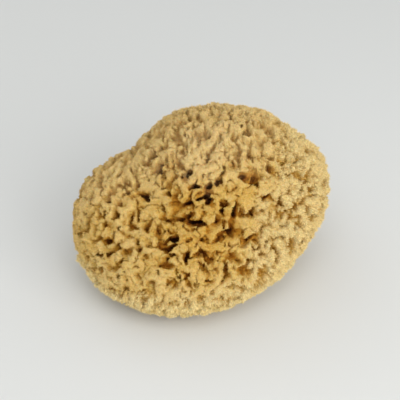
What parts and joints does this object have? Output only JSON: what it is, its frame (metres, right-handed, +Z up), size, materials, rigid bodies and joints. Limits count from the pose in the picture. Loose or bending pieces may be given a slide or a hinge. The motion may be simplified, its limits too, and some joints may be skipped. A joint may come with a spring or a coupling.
{
  "type": "sea sponge",
  "caption": "Dried natural bath sponge: a lobed cushion of soft woolly tufts with sunken outlets, cut flat underneath where it grew on rock.",
  "frame": {"origin": "middle of the cut foot, on the surface that the sponge stands on", "axes": "+X along the sponge's length, towards its taller end; -Y towards the side with most of the outlets; +Z up"},
  "size_m": [0.1506, 0.1251, 0.0989],
  "materials": {
    "sponge": "dry, matt, open fibre"
  },
  "bodies": {
    "root": {"sponge": "sponge"}
  },
  "joints": []
}
